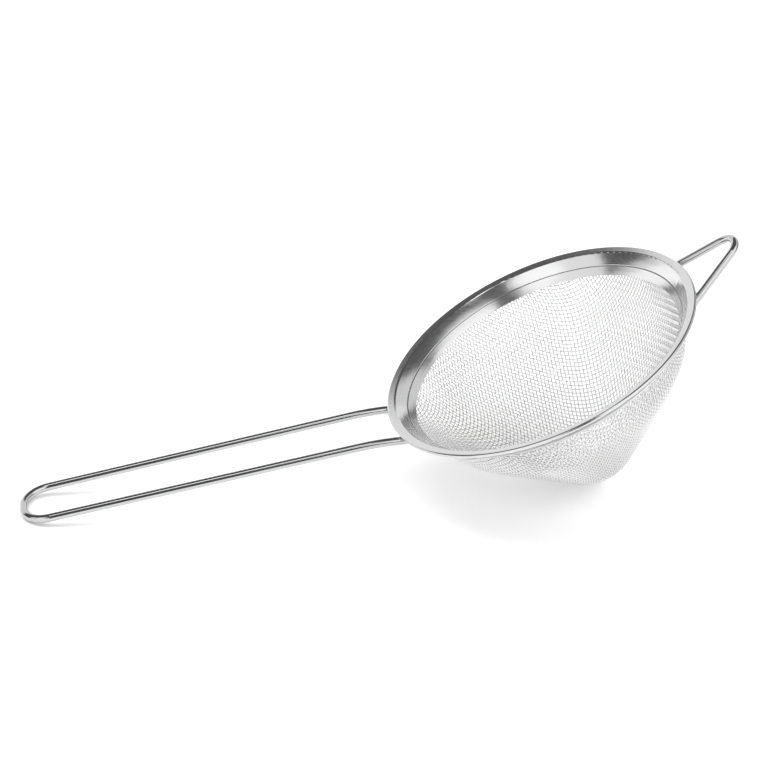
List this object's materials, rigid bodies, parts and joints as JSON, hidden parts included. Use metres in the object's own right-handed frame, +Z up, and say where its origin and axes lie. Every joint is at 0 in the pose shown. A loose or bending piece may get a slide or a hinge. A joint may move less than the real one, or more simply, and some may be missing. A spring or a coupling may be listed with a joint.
{
  "type": "conical mesh strainer",
  "caption": "Small conical hand strainer of woven wire mesh in a flanged rim, with a double-rod wire handle and a rest hook.",
  "frame": {"origin": "centre of the bounding box's footprint, on the table that the strainer rests on", "axes": "+Z up from the table, +X from the handle's end towards the rest hook, +Y to the left of that; the cone's tip and the handle's end touch Z = 0"},
  "size_m": [0.1828, 0.085, 0.0683],
  "materials": {
    "rim_steel": "satin",
    "band_steel": "satin",
    "cloth_steel": "bright drawn wire",
    "rod_steel": "polished",
    "weld_steel": "matt"
  },
  "bodies": {
    "root": {"rim_ring": "rim_steel", "clamp_band": "band_steel", "mesh_cone": "cloth_steel", "handle_wire": "rod_steel", "hook_wire": "rod_steel", "weld_beads": "weld_steel"}
  },
  "joints": []
}
